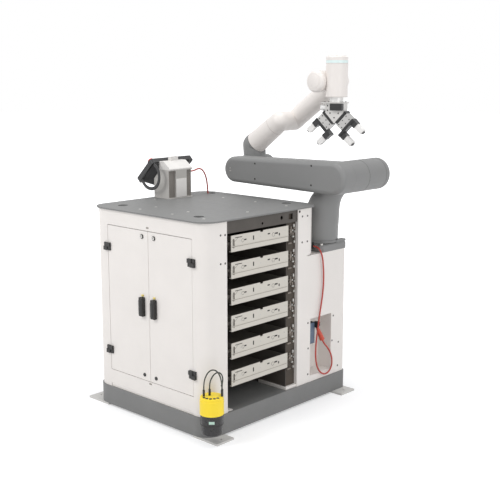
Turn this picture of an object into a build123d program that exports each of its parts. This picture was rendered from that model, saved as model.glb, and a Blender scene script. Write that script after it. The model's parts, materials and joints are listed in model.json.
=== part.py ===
"""Machine tending cell: a collaborative robot arm on a pedestal behind a white cabinet.

The cabinet has two doors in front, six drawers on its right side and a grey table top.
Millimetres, +Z up. The doors face -Y and the drawers face +X. The origin lies on the
floor, at the centre of the four floor bolts.
"""
from build123d import *

import os
from math import atan2, cos, degrees, pi, radians, sin, tan

# floor plates and base skid
PLATE_T = 10
PLATE_W = 160
PLATE_D = 110
PLATE_OUT = 62
FLOOR_BOLT_R = 7
BASE_H = 96
BASE_PROUD = 6
BASE_BACK_R = 26

# cabinet body
CAB_W = 807
CAB_D = 781
CELL_D = 1016
CORNER_R = 80
SHEET = 3
TABLE_Z = 1010
TABLE_T = 7
TABLE_PROUD = 11
TABLE_HOLE_R = 25
TABLE_HOLES_LEFT = ((116, 101), (98, 53))
TABLE_HOLES_RIGHT = ((152, 105), (148, 72))
POST_W = 118
CORNER_W = 91
SIDE_PANEL = 133
GAP = 1.5

# doors
DOOR_Z0 = 198
DOOR_Z1 = 932
DOOR_T = 18
KICK_GAP = 20
RAIL_LIP = 40
RAIL_GAP = 3
HINGE_H = 38
HINGE_W = 22
HINGE_PIN_R = 5
HINGE_OUT = 7
HINGE_ZS = (301, 826)
HANDLE_Z = 565
HANDLE_H = 92
HANDLE_W = 26
HANDLE_T = 22
HANDLE_IN = 42
LOCK_Z = 905
LOCK_R = 11
PLUG_Z = 224
PLUG_HOLE_R = 9

# drawers
DRAWER_Y0 = 160
DRAWER_W = 396
DRAWER_H = 76
DRAWER_TOPS = (939, 815, 691, 565, 433, 301)
DRAWER_D = 420
DRAWER_WALL = 3
TRAY_SIDE = 14
RUNNER_H = 14
RUNNER_GAP = 0.3
BAY_FRONT = 138
BAY_EXTRA = 30
LATCH_ZONE = 71
LATCH_Y = 36
RAIL_H = 60
RAIL_IN = 5
FLANGE = 60
POST_FLANGE = 22

# pedestal
PED_TOP = 767
PED_W = 340
PED_PLATE = 10
PED_R = 20
SLIT = 4
RECESS_W = 170
RECESS_H = 300
RECESS_Z = 138
RECESS_IN = 51
RECESS_DEEP = 90
CONNECTOR_W = 50
CONNECTOR_Z0 = 301
CONNECTOR_Z1 = 412
CONNECTOR_IN = 12
MOUTH_W = 28
MOUTH_D = 19
PLUG_R = 14
PLUG_TIP_R = 7
PLUG_IN = 5.5
PLUG_LOW = (52, 311)
PLUG_HIGH = (8, 387)

# robot arm
FOOT = 210
FOOT_H = 36
FOOT_RING_H = 14
LUG_W = 34
LUG_H = 12
J1_FROM_RIGHT = 104
J1_BACK = 137
J2_OFFSET = 215
J2_HEIGHT = 389
ARM_LEN = 665
ARM_R2 = 80
ARM_R3 = 68
ARM_T = 96
ARM_SIDE = 132
DRUM_R = 80
DRUM_BACK = 208
COLUMN_R = 97
COLUMN_STATIONS = ((0, 0, 97), (0.02, 0.13, 96), (0.05, 0.26, 93), (0.085, 0.39, 89),
                   (0.13, 0.52, 84), (0.22, 0.65, 81), (0.41, 0.76, 80), (0.65, 0.86, 79),
                   (0.86, 0.956, 75))
ELBOW_R = 66
ELBOW_OFFSET = 104
ELBOW_BACK = 104
FORE_ANGLE = 35.5
FORE_LEN = 651
ROOT_R2 = 61
ROOT_R = 55
ROOT_S0 = 87
ROOT_S1 = 250
FORE_R = 52
FORE_SIDE = 116
BEND_S = 290
BEND_R = 53
KNEE_S = 62
KNUCKLE_BACK = 34
WRIST_R = 54
WRIST_SPLIT = 62
WRIST_FRONT = 82
WRIST_OFFSET = 80
HEAD_R = 54.5
HEAD_UP = 124
HEAD_DOWN = 76
RING_H = 13
RING_DROP = 21
RING_IN = 4
TOOL_R = 34
TOOL_DROP = 101
JOINT_GAP = 0.3
SOCKET_X = 18
SOCKET_OUT = 28
SOCKET_Z = (18, 48)
BOOT_LEN = 14
BOOT_R = 9

# double gripper
GRIP_TURN = 15
ADAPTER_T = 6
ADAPTER_W = 120
ADAPTER_D = 76
BLOCK_W = 96
BLOCK_D = 54
BLOCK_H = 46
WEDGE_H = 52
VPLATE_T = 12
VPLATE_L = 84
GRIP_T = 42
GRIP_L = 78
GRIP_W = 50
RAIL_T = 13
RAIL_L = 112
RAIL_SHIFT = 8
JAW_L = 30
JAW_T = 24
JAW_W = 42
FINGER_L = 27
FINGER_T = 44
FINGER_W = 36
TIP_T = 6
FITTING_R = 15
FITTING_L = 30
SLIDE_GAP = 0.3

# pendant and its holder
HOLDER_X = 3
HOLDER_BACK = 376
HOLDER_W = 125
HOLDER_D = 157
HOLDER_H = 150
GROOVE_W = 40
GROOVE_DEEP = 10
CAP_H = 42
CLIP_W = 50
CLIP_H = 22
PENDANT_L = 290
PENDANT_H = 167
PENDANT_T = 26
PENDANT_BACK = 44
PENDANT_TILT = 44

# safety scanner
SCAN_X = 34
SCAN_Y = -4
SCAN_Z = 54
SCAN_R = 49
SCAN_BAND_R = 52
SCAN_TOP_R = 55
SCAN_LOW_H = 48
SCAN_BAND_H = 48
SCAN_TOP_H = 70
SCAN_CAP_R = 51
SCAN_CAP_H = 10
LEAD_PLUG_R = 5.5
LEAD_PLUG_H = 30
BRACKET_W = 50
BRACKET_T = 4

# cords: thickness and route. The robot's cord is counted from the right face and the cabinet's
# back, the pendant's from the left wall and that back, the leads from the right face and the front
CORD_D = 8
LEAD_D = 6
ROBOT_CORD_RUN = ((-37.5, 13, 800), (-14.5, 13, 800), (6.5, 15, 782), (16.5, 20, 748), (14.5, 29, 700),
                  (12.5, 36, 652), (12.5, 35, 603), (12.5, 29, 553), (12.5, 19, 503), (12.5, 7, 452),
                  (12.5, -2, 400), (12.5, -12, 345), (12.5, -20, 290), (12.5, -21, 236),
                  (12.5, -12, 187), (12.5, 13, 147), (12.5, 49, 124), (12.5, 87, 126),
                  (12.5, 113, 152), (11.5, 118, 190), (7.5, 108, 228), (1.5, 89, 260),
                  (-5.5, 67, 285.09))
PENDANT_CORD_RUN = ((111.5, -219, 1150), (111.5, -191, 1150), (107.5, -161, 1159), (103.5, -130, 1156),
                    (98.5, -102, 1134), (95.5, -84, 1100), (93.5, -75, 1062), (92.5, -71, 1022),
                    (93.5, -68, 984), (95.5, -60, 952), (98.5, -43, 928), (99.5, -23, 915))
LEAD_1_RUN = ((11.5, -32, 262), (11.5, -32, 290), (16.5, -28, 320), (26.5, -18, 346), (40.5, -5, 358),
              (54.5, 8, 352), (64.5, 18, 331), (69.5, 22, 305), (71.5, 24, 284), (71.5, 24, 262))
LEAD_2_RUN = ((21.5, -5, 262), (21.5, -5, 288), (27.5, 1, 313), (37.5, 10, 333), (50.5, 21, 342),
              (61.5, 31, 334), (65.5, 37, 311), (62.5, 34, 286), (62.5, 34, 262))

# places worked out from the sizes above
RIGHT = CAB_W / 2
LEFT = -CAB_W / 2
FRONT = -CELL_D / 2
BACK = CELL_D / 2
BASE_Z = PLATE_T + BASE_H
CAB_BACK = FRONT + CAB_D
CAB_MID = FRONT + CAB_D / 2
DOOR_L = LEFT + POST_W
DOOR_R = RIGHT - CORNER_W
DOOR_MID = (DOOR_L + DOOR_R) / 2
TABLE_TOP = TABLE_Z + TABLE_T
HINGE_Y = FRONT - HINGE_OUT
BAY_X = RIGHT - DRAWER_D - BAY_EXTRA
BAY_Y0 = FRONT + BAY_FRONT
DRAWER_LEFT = FRONT + DRAWER_Y0
DRAWER_RIGHT = DRAWER_LEFT + DRAWER_W
POST_Y = DRAWER_RIGHT + LATCH_ZONE
PED_Y0 = CAB_BACK + JOINT_GAP
RECESS_LEFT = CAB_BACK - RECESS_IN
FOOT_TOP = PED_TOP + FOOT_H
J1 = Vector(RIGHT - J1_FROM_RIGHT, CAB_BACK + J1_BACK, PED_TOP)
J2 = Vector(J1.X + J2_OFFSET, J1.Y, PED_TOP + J2_HEIGHT)
J3 = Vector(J2.X - ARM_LEN, J1.Y, J2.Z)
FORE_U = Vector(cos(radians(FORE_ANGLE)), 0, sin(radians(FORE_ANGLE)))
FORE_N = Vector(-sin(radians(FORE_ANGLE)), 0, cos(radians(FORE_ANGLE)))
ELBOW = J3 + FORE_N * ELBOW_OFFSET
J5 = ELBOW + FORE_U * FORE_LEN
J6 = Vector(J5.X + WRIST_OFFSET, J1.Y, J5.Z)
FLANGE_Z = J6.Z - TOOL_DROP
ARM_FRONT = J1.Y - ARM_SIDE - ARM_T / 2
ARM_BACK = J1.Y - ARM_SIDE + ARM_T / 2
HOLDER_X0 = LEFT + HOLDER_X
HOLDER_X1 = HOLDER_X0 + HOLDER_W
HOLDER_Y0 = CAB_BACK - HOLDER_BACK
HOLDER_Y1 = HOLDER_Y0 + HOLDER_D
HOLDER_TOP = TABLE_TOP + HOLDER_H
CAP_X = HOLDER_X0 + 75
SCAN_AT = Vector(RIGHT + SCAN_X, FRONT + SCAN_Y)
CORNER_AT = Vector(RIGHT - CORNER_R, FRONT + CORNER_R)
WEDGE_Z = -ADAPTER_T - BLOCK_H
PLUG_FROM = (RIGHT - PLUG_IN, CAB_BACK + PLUG_LOW[0], PLUG_LOW[1])
PLUG_TO = (RIGHT - PLUG_IN, CAB_BACK + PLUG_HIGH[0], PLUG_HIGH[1])


def route_from(x, y, run):
    """A cord's points, counted from a wall in X and one in Y."""
    return tuple((x + dx, y + dy, z) for dx, dy, z in run)


ROBOT_CORD = route_from(RIGHT, CAB_BACK, ROBOT_CORD_RUN) + (PLUG_FROM,)
PENDANT_CORD = route_from(LEFT, CAB_BACK, PENDANT_CORD_RUN)
LEAD_ROUTES = (route_from(RIGHT, FRONT, LEAD_1_RUN), route_from(RIGHT, FRONT, LEAD_2_RUN))


def block(x0, x1, y0, y1, z0, z1):
    """A box from its lowest to its highest corner."""
    size = (x1 - x0, y1 - y0, z1 - z0)
    return Pos((x0 + x1) / 2, (y0 + y1) / 2, (z0 + z1) / 2) * Box(*size)


def disc(x, y, z, radius, height):
    """An upright cylinder that stands on z."""
    return Pos(x, y, z) * Cylinder(radius, height, align=(Align.CENTER, Align.CENTER, Align.MIN))


def rod(start, end, radius):
    """A round bar between two points."""
    start, end = Vector(*start), Vector(*end)
    plane = Plane(origin=start, z_dir=end - start)
    return extrude(plane * Circle(radius), amount=(end - start).length)


def cone(start, end, radius0, radius1):
    """A round taper between two points."""
    start, end = Vector(*start), Vector(*end)
    low = Plane(origin=start, z_dir=end - start)
    high = Plane(origin=end, z_dir=end - start)
    return loft([low * Circle(radius0), high * Circle(radius1)])


def group(solids):
    """Solids of one node that do not touch."""
    return Compound(children=list(solids))


def prism(points, y0, y1):
    """An upright outline in X and Z, drawn out along Y."""
    face = Plane.XZ.offset(-y0) * make_face(Polyline(*points, close=True))
    return extrude(face, amount=-(y1 - y0))


def cord(name, points, diameter):
    """A cord as one tube: straight runs with the largest arcs that the corners leave room for."""
    pts = [Vector(*p) for p in points]
    radii = []
    for a, b, c in zip(pts, pts[1:], pts[2:]):
        turn = (b - a).get_angle(c - b)
        shorter = min((b - a).length, (c - b).length)
        radii.append(0.45 * shorter / tan(radians(turn / 2)))
    path = FilletPolyline(*pts, radius=radii)
    section = Plane(origin=path @ 0, z_dir=path % 0) * Circle(diameter / 2)
    solid = sweep(section, path=path)
    filled = pi * diameter ** 2 / 4 * path.length
    print(name, "length", round(path.length), "radii", [round(r) for r in radii],
          "volume ratio", round(solid.volume / filled, 4))
    return solid


# floor plates and base

def floor_plates():
    outer_x = RIGHT + BASE_PROUD + PLATE_OUT
    outer_y = BACK + BASE_PROUD
    mid_x = outer_x - PLATE_W / 2
    bolt_x = outer_x - PLATE_OUT / 2
    mid_y = outer_y - PLATE_D / 2
    plate = Box(PLATE_W, PLATE_D, PLATE_T)
    hole = Cylinder(FLOOR_BOLT_R, 2 * PLATE_T)
    solids = []
    for sx in (-1, 1):
        for sy in (-1, 1):
            one = Pos(sx * mid_x, sy * mid_y, PLATE_T / 2) * plate
            solids.append(one - Pos(sx * bolt_x, sy * mid_y, PLATE_T / 2) * hole)
    return group(solids)


def base_skid():
    width = CAB_W + 2 * BASE_PROUD
    depth = CELL_D + 2 * BASE_PROUD
    solid = Pos(0, 0, PLATE_T + BASE_H / 2) * Box(width, depth, BASE_H)
    upright = solid.edges().filter_by(Axis.Z).group_by(Axis.Y)
    solid = fillet(upright[0], CORNER_R + BASE_PROUD)
    upright = [e for e in solid.edges().filter_by(Axis.Z) if e.center().Y > BACK]
    return fillet(upright, BASE_BACK_R)


# cabinet sheets

def cabinet_ring():
    outer = RectangleRounded(CAB_W, CAB_D, CORNER_R)
    inner = RectangleRounded(CAB_W - 2 * SHEET, CAB_D - 2 * SHEET, CORNER_R - SHEET)
    return extrude(Pos(0, CAB_MID, BASE_Z) * (outer - inner), amount=TABLE_Z - BASE_Z)


def left_wall(ring):
    return ring & block(LEFT - 5, DOOR_L - GAP, FRONT - 5, CAB_BACK + 5, 0, TABLE_Z)


def back_wall(ring):
    sheet = ring & block(DOOR_L - GAP, RIGHT - CORNER_R, CAB_BACK - 10, CAB_BACK + 5, 0, TABLE_Z)
    return sheet - recess_outer()


def front_rails(ring):
    """The sheets above and below the doors, each with a lip behind that the doors close on."""
    x0, x1 = DOOR_L - GAP, DOOR_R + GAP
    top_z = DOOR_Z1 + RAIL_GAP
    low_z = DOOR_Z0 - RAIL_GAP
    y0, y1 = FRONT + SHEET, FRONT + RAIL_LIP
    upper = ring & block(x0, x1, FRONT - 5, y0 + 5, top_z, TABLE_Z)
    lower = ring & block(x0, x1, FRONT - 5, y0 + 5, BASE_Z + KICK_GAP, low_z)
    upper += block(x0, x1, y0, y1, top_z, top_z + SHEET)
    lower += block(x0, x1, y0, y1, low_z - SHEET, low_z)
    return group([upper, lower])


def corner_panel(ring):
    y = FRONT + SIDE_PANEL
    panel = ring & block(DOOR_R + GAP, RIGHT + 5, FRONT - 5, y, 0, TABLE_Z)
    return panel + block(RIGHT - FLANGE, RIGHT - SHEET, y - SHEET, y, BASE_Z, TABLE_Z)


def recess_cut():
    """The room of the connector recess, through the side sheet into the pedestal."""
    return block(RIGHT - RECESS_DEEP + SHEET, RIGHT + 5, RECESS_LEFT, RECESS_LEFT + RECESS_W,
                 RECESS_Z, RECESS_Z + RECESS_H)


def recess_outer():
    """The outside of the sheet box that lines the recess in front of the pedestal."""
    return block(RIGHT - RECESS_DEEP, RIGHT - SHEET, RECESS_LEFT - SHEET, PED_Y0,
                 RECESS_Z - SHEET, RECESS_Z + RECESS_H + SHEET)


def side_sheet(ring):
    """One sheet: the full-height column behind the drawers and the pedestal's side."""
    high = ring & block(RIGHT - CORNER_R, RIGHT + 5, POST_Y, CAB_BACK + 5, PED_TOP + SLIT, TABLE_Z)
    flat = block(RIGHT - SHEET, RIGHT, POST_Y, CAB_BACK - CORNER_R, BASE_Z, TABLE_Z)
    low = block(RIGHT - SHEET, RIGHT, POST_Y, BACK - PED_R, BASE_Z, PED_TOP - PED_PLATE)
    lip = block(RIGHT - POST_FLANGE, RIGHT, POST_Y, POST_Y + SHEET, BASE_Z, TABLE_Z)
    return high + flat + low + lip - recess_cut()


def bay_walls():
    """The plates at both ends of the drawer bay; the rear one carries the runners."""
    front = block(BAY_X, RIGHT - TRAY_SIDE, BAY_Y0, BAY_Y0 + SHEET, BASE_Z, TABLE_Z)
    rear = block(BAY_X, RIGHT - TRAY_SIDE, DRAWER_RIGHT, DRAWER_RIGHT + SHEET, BASE_Z, TABLE_Z)
    return group([front, rear])


def cupboard_wall():
    return block(BAY_X - SHEET, BAY_X, BAY_Y0, CAB_BACK - SHEET, BASE_Z, TABLE_Z)


def tray_left():
    return DRAWER_LEFT + TRAY_SIDE


def tray_right():
    return DRAWER_RIGHT - TRAY_SIDE


def side_rail():
    rail = block(RIGHT - RAIL_IN - SHEET, RIGHT - RAIL_IN, FRONT + SIDE_PANEL, POST_Y,
                 TABLE_Z - RAIL_H, TABLE_Z)
    z = TABLE_Z - RAIL_H / 2
    square = block(RIGHT - 12, RIGHT, DRAWER_RIGHT + 6, DRAWER_RIGHT + 36, z - 14, z + 14)
    turned = Rot(0, 90, 0)
    big = Pos(RIGHT, DRAWER_RIGHT - 45, z + 1) * turned * Cylinder(9, 40)
    small = Pos(RIGHT, DRAWER_LEFT + 215, z - 10) * turned * Cylinder(6, 40)
    return rail - square - big - small


def runners():
    """Two rows of runners, level with the middle of each drawer."""
    solids = []
    rows = ((BAY_Y0 + SHEET, tray_left() - RUNNER_GAP), (tray_right() + RUNNER_GAP, DRAWER_RIGHT))
    for top in DRAWER_TOPS:
        z = top - (DRAWER_H + RUNNER_H) / 2
        for y0, y1 in rows:
            solids.append(block(BAY_X, RIGHT - TRAY_SIDE - GAP, y0, y1, z, z + RUNNER_H))
    return group(solids)


def latches():
    """The catch beside each drawer: a hooked plate on the end of the runner wall."""
    solids = []
    y0 = DRAWER_RIGHT + SHEET
    y1 = y0 + LATCH_Y
    x1 = RIGHT - TRAY_SIDE
    for top in DRAWER_TOPS:
        z = top - DRAWER_H / 2
        foot = block(x1 - 46, x1, y0, y0 + 8, z - 20, z + 24)
        arm = block(x1 - 12, x1, y0, y1, z - 6, z + 14)
        hook = block(x1 - 12, x1, y1 - 8, y1, z - 18, z + 26)
        knob = rod((x1, y1 - 14, z + 4), (x1 + 8, y1 - 14, z + 4), 8)
        solids.append(foot + arm + hook + knob)
    return group(solids)


def drawer(z1):
    """A tray with a flanged front, a finger slot at its left and a notch in its top edge."""
    z0 = z1 - DRAWER_H
    front = block(RIGHT - SHEET, RIGHT, DRAWER_LEFT, DRAWER_RIGHT - GAP, z0, z1)
    flange = block(RIGHT - TRAY_SIDE, RIGHT, DRAWER_LEFT, DRAWER_RIGHT - GAP, z0, z0 + SHEET)
    notch = block(RIGHT - 5, RIGHT + 5, DRAWER_LEFT + 195, DRAWER_LEFT + 215, z1 - 7, z1 + 5)
    slot = extrude(Plane.YZ * SlotOverall(44, 14, rotation=90), amount=8, both=True)
    finger = Pos(RIGHT, DRAWER_LEFT + 15, z0 + DRAWER_H / 2) * slot
    box = block(RIGHT - DRAWER_D, RIGHT - SHEET, tray_left(), tray_right(), z0 + 4, z1 - 6)
    room = block(RIGHT - DRAWER_D + DRAWER_WALL, RIGHT - SHEET, tray_left() + DRAWER_WALL,
                 tray_right() - DRAWER_WALL, z0 + 4 + DRAWER_WALL, z1 + 5)
    return front + flange - notch - finger + (box - room)


def table_top():
    outline = RectangleRounded(CAB_W + 2 * TABLE_PROUD, CAB_D + 2 * TABLE_PROUD,
                               CORNER_R + TABLE_PROUD)
    plate = extrude(Pos(0, CAB_MID, TABLE_Z) * outline, amount=TABLE_T)
    for x, pair, sign in ((LEFT, TABLE_HOLES_LEFT, 1), (RIGHT, TABLE_HOLES_RIGHT, -1)):
        for y, (dx, dy), turn in ((FRONT, pair[0], 1), (CAB_BACK, pair[1], -1)):
            plate -= Pos(x + sign * dx, y + turn * dy, TABLE_Z) * Cylinder(TABLE_HOLE_R, 4 * TABLE_T)
    return plate


# doors, hinges and handles

def door(x0, x1):
    """A folded door sheet with rounded front edges."""
    body = block(x0, x1, FRONT, FRONT + DOOR_T, DOOR_Z0, DOOR_Z1)
    return fillet(body.edges().filter_by(Axis.Z).group_by(Axis.Y)[0], 2)


def hinge_leaf(x, side, z, upper):
    """Half of a hinge: a plate on the sheet and one knuckle on the pin line."""
    z0, z1 = (z + JOINT_GAP, z + HINGE_H / 2) if upper else (z - HINGE_H / 2, z)
    clear = rod((x, HINGE_Y, z - HINGE_H), (x, HINGE_Y, z + HINGE_H), HINGE_PIN_R + GAP)
    x0, x1 = sorted((x + side * GAP, x + side * HINGE_W))
    plate = block(x0, x1, HINGE_Y, FRONT, z - HINGE_H / 2, z + HINGE_H / 2) - clear
    arm_x0, arm_x1 = sorted((x, x + side * HINGE_W))
    arm = block(arm_x0, arm_x1, HINGE_Y - HINGE_PIN_R, HINGE_Y, z0, z1)
    knuckle = rod((x, HINGE_Y, z0), (x, HINGE_Y, z1), HINGE_PIN_R)
    return plate + arm + knuckle


def post_hinges():
    solids = []
    for z in HINGE_ZS:
        solids.append(hinge_leaf(DOOR_L - GAP / 2, -1, z, False))
        solids.append(hinge_leaf(DOOR_R + GAP / 2, 1, z, False))
    return group(solids)


def door_fittings(pin_x, side, handle_x):
    """The black fittings on one door: hinge leaves, handle, lock and hole plug."""
    solids = [hinge_leaf(pin_x, side, z, True) for z in HINGE_ZS]
    grip = block(handle_x - HANDLE_W / 2, handle_x + HANDLE_W / 2, FRONT - HANDLE_T, FRONT,
                 HANDLE_Z - HANDLE_H / 2, HANDLE_Z + HANDLE_H / 2)
    solids.append(fillet(grip.edges().group_by(Axis.Y)[0], 6))
    solids.append(rod((handle_x, FRONT - 4, LOCK_Z), (handle_x, FRONT, LOCK_Z), LOCK_R))
    solids.append(rod((handle_x, FRONT - 3, PLUG_Z), (handle_x, FRONT, PLUG_Z), PLUG_HOLE_R))
    return group(solids)


# pedestal

def pedestal():
    """The closed steel column behind the side sheet, with the connector recess cut in."""
    solid = block(RIGHT - PED_W, RIGHT - SHEET, PED_Y0, BACK, BASE_Z, PED_TOP - PED_PLATE)
    corner = block(RIGHT - SHEET, RIGHT, BACK - PED_R, BACK, BASE_Z, PED_TOP - PED_PLATE)
    solid += corner
    solid = fillet(solid.edges().filter_by(Axis.Z).group_by(Axis.Y)[-1], PED_R - 1)
    return solid - recess_cut()


def recess_box():
    """The part of the recess that lies in front of the pedestal, inside the cabinet."""
    return recess_outer() - recess_cut()


def pedestal_top():
    """The plate under the robot; it also closes the corner below the slit."""
    plate = block(RIGHT - PED_W, RIGHT, PED_Y0, BACK, PED_TOP - PED_PLATE, PED_TOP)
    plate = fillet(plate.edges().filter_by(Axis.Z).group_by(Axis.Y)[-1], PED_R - 1)
    return plate + block(RIGHT - CORNER_R, RIGHT, CAB_BACK - CORNER_R, PED_Y0,
                         PED_TOP - PED_PLATE, PED_TOP)


def recess_connector():
    """The connector on the recess wall, with a slanted mouth that takes the plug."""
    x0, x1 = RIGHT - RECESS_DEEP + SHEET, RIGHT - CONNECTOR_IN
    y0, y1 = RECESS_LEFT, RECESS_LEFT + CONNECTOR_W
    body = block(x0, x1, y0, y1, CONNECTOR_Z0, CONNECTOR_Z1)
    slope = (PLUG_FROM[1] - PLUG_TO[1]) / (PLUG_TO[2] - PLUG_FROM[2])
    low = PLUG_TO[2] + (y1 - PLUG_TO[1]) * slope
    profile = ((y1, CONNECTOR_Z1), (y1, low), (y1 + MOUTH_D, low + MOUTH_D * slope),
               (y1 + MOUTH_D, CONNECTOR_Z1))
    start = Plane.YZ.offset(PLUG_TO[0] - MOUTH_W / 2)
    return body + extrude(start * make_face(Polyline(*profile, close=True)), amount=MOUTH_W)


# robot arm

def robot_foot():
    """The square foot with cut corners, its stepped lug at the back and the round collar."""
    half = FOOT / 2
    foot = block(J1.X - half, J1.X + half, J1.Y - half, J1.Y + half, PED_TOP, FOOT_TOP)
    foot = chamfer(foot.edges().filter_by(Axis.Z), 14)
    foot = chamfer(foot.edges().group_by(Axis.Z)[-1], 5)
    inner = half - LUG_W
    lug = block(J1.X + inner, J1.X + half - 6, J1.Y + 20, J1.Y + half - 6, FOOT_TOP, FOOT_TOP + LUG_H)
    return foot + lug + disc(J1.X, J1.Y, FOOT_TOP, COLUMN_R + 2, FOOT_RING_H)


def robot_socket():
    """The cable outlet on the foot's front face, with a nose that the cord leaves from."""
    x0, x1 = J1.X + SOCKET_X, ROBOT_CORD[0][0] - BOOT_LEN
    front = J1.Y - FOOT / 2
    body = block(x0, x1, front - SOCKET_OUT, front, PED_TOP + SOCKET_Z[0], PED_TOP + SOCKET_Z[1])
    nose = (x1 - 2, ROBOT_CORD[0][1], ROBOT_CORD[0][2])
    return body + cone(nose, ROBOT_CORD[0], BOOT_R, CORD_D / 2 + 1)


def robot_column():
    """The swivel: a round column that leans over and carries the shoulder drum."""
    z0 = FOOT_TOP + FOOT_RING_H + JOINT_GAP
    rise = J2.Z - z0
    sections = [Pos(J1.X + dx * J2_OFFSET, J1.Y, z0 + dz * rise) * Circle(r)
                for dx, dz, r in COLUMN_STATIONS]
    neck = loft(sections)
    drum = rod((J2.X, ARM_BACK + JOINT_GAP, J2.Z), (J2.X, J1.Y + DRUM_BACK, J2.Z), DRUM_R)
    drum = fillet(drum.edges().group_by(Axis.Y)[-1], 14)
    return neck + drum


def lower_arm():
    """The lower arm: a cheek with two round ends that narrows towards the elbow."""
    lean = atan2(ARM_R2 - ARM_R3, ARM_LEN)
    top2 = (J2.X - ARM_R2 * sin(lean), J2.Z + ARM_R2 * cos(lean))
    top3 = (J3.X - ARM_R3 * sin(lean), J3.Z + ARM_R3 * cos(lean))
    low2 = (top2[0], 2 * J2.Z - top2[1])
    low3 = (top3[0], 2 * J3.Z - top3[1])
    outline = (Line(top2, top3)
               + ThreePointArc(top3, (J3.X - ARM_R3, J3.Z), low3)
               + Line(low3, low2)
               + ThreePointArc(low2, (J2.X + ARM_R2, J2.Z), top2))
    arm = extrude(Plane.XZ.offset(-ARM_FRONT) * make_face(outline), amount=-ARM_T)
    return fillet(arm.edges().group_by(Axis.Y)[0], 22)


def elbow():
    """The elbow: a drum on the lower arm, with the housing of the next joint on its top."""
    drum = rod((J3.X, ARM_BACK + JOINT_GAP, J3.Z), (J3.X, J1.Y + ELBOW_BACK, J3.Z), ELBOW_R)
    drum = fillet(drum.edges().group_by(Axis.Y)[-1], 14)
    knee = ELBOW + FORE_U * KNEE_S
    seam = ELBOW + FORE_U * ROOT_S0
    housing = Pos(*knee) * Sphere(ROOT_R2) + cone(J3, knee, ELBOW_R - 6, ROOT_R2)
    housing -= rod(seam, seam + FORE_U * ROOT_R2 * 2, ROOT_R2 * 2)
    return drum + housing + rod(knee, seam, ROOT_R2)


def elbow_root():
    """The white housing of the turning joint behind the elbow."""
    return cone(ELBOW + FORE_U * ROOT_S0, ELBOW + FORE_U * ROOT_S1, ROOT_R2 - 1, ROOT_R)


def forearm():
    """The white forearm: it steps square to the side and ends in the knuckle of the wrist."""
    seam = ELBOW + FORE_U * (ROOT_S1 + JOINT_GAP)
    bend = ELBOW + FORE_U * BEND_S
    side = Vector(0, FORE_SIDE, 0)
    tube = cone(seam, bend, ROOT_R, BEND_R) + Pos(*bend) * Sphere(BEND_R)
    tube += rod(bend, bend + side, FORE_R) + Pos(*(bend + side)) * Sphere(FORE_R)
    tube += rod(bend + side, J5 + side, FORE_R)
    tube -= rod(seam - FORE_U * FORE_R, seam, 2 * FORE_SIDE)
    knuckle = rod((J5.X, J1.Y + WRIST_SPLIT, J5.Z), J5 + side, WRIST_R)
    knuckle += Pos(*(J5 + side)) * Sphere(WRIST_R)
    back = J5.Y + FORE_SIDE + KNUCKLE_BACK
    flat = block(J5.X - 2 * WRIST_R, J5.X + 2 * WRIST_R, back, back + WRIST_R,
                 J5.Z - 2 * WRIST_R, J5.Z + 2 * WRIST_R)
    return tube + (knuckle - flat)


def ring_at(inner, outer):
    """A flat ring round the wrist head, where the light band sits."""
    z = J6.Z + HEAD_UP - RING_DROP - RING_H
    return disc(J6.X, J6.Y, z, outer, RING_H) - disc(J6.X, J6.Y, z, inner, RING_H)


def wrist():
    """The wrist: a drum on the forearm's knuckle and the upright head beside it."""
    drum = rod((J5.X, J1.Y - WRIST_FRONT, J5.Z),
               (J5.X, J1.Y + WRIST_SPLIT - JOINT_GAP, J5.Z), WRIST_R)
    drum = fillet(drum.edges().group_by(Axis.Y)[0], 18)
    head = disc(J6.X, J6.Y, J6.Z - HEAD_DOWN, HEAD_R, HEAD_DOWN + HEAD_UP)
    head = fillet(head.edges().group_by(Axis.Z)[-1], 8)
    return drum + head - ring_at(HEAD_R - RING_IN, HEAD_R + 5)


def light_ring():
    return ring_at(HEAD_R - RING_IN, HEAD_R)


def tool_flange():
    top = J6.Z - HEAD_DOWN - JOINT_GAP
    return disc(J6.X, J6.Y, FLANGE_Z, TOOL_R, top - FLANGE_Z)


# double gripper, drawn about the tool axis and then turned

def on_tool(solid):
    return Pos(J6.X, J6.Y, FLANGE_Z) * Rot(0, 0, GRIP_TURN) * solid


def gripper_adapter():
    plate = block(-ADAPTER_W / 2 - 8, ADAPTER_W / 2 - 8, -ADAPTER_D / 2, ADAPTER_D / 2, -ADAPTER_T, 0)
    half = BLOCK_W / 2
    outline = ((-half, -ADAPTER_T), (half, -ADAPTER_T), (half, WEDGE_Z), (0, WEDGE_Z - WEDGE_H),
               (-half, WEDGE_Z))
    return on_tool(plate + prism(outline, -BLOCK_D / 2, BLOCK_D / 2))


def on_face(side, solid):
    """Puts a solid on one sloping face of the wedge: X runs down the face and Z out of it."""
    half = BLOCK_W / 2
    plane = Plane(origin=(side * half / 2, 0, WEDGE_Z - WEDGE_H / 2),
                  x_dir=(-side * half, 0, -WEDGE_H), z_dir=(side * WEDGE_H, 0, -half))
    return on_tool(plane * solid)


def v_plate(side):
    half = BLOCK_D / 2
    return on_face(side, block(-VPLATE_L / 2 - 6, VPLATE_L / 2 - 14, -half, half, 0, VPLATE_T))


def grip_body(side):
    z = VPLATE_T
    half = GRIP_W / 2
    body = block(-GRIP_L / 2 - 6, GRIP_L / 2 - 6, -half, half, z, z + GRIP_T)
    body = chamfer(body.edges().filter_by(Axis.X), 3)
    return on_face(side, body)


def grip_rail(side):
    z = VPLATE_T + GRIP_T
    half = GRIP_W / 2
    x0, x1 = RAIL_SHIFT - RAIL_L / 2, RAIL_SHIFT + RAIL_L / 2
    return on_face(side, block(x0, x1, -half, half, z, z + RAIL_T))


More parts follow.
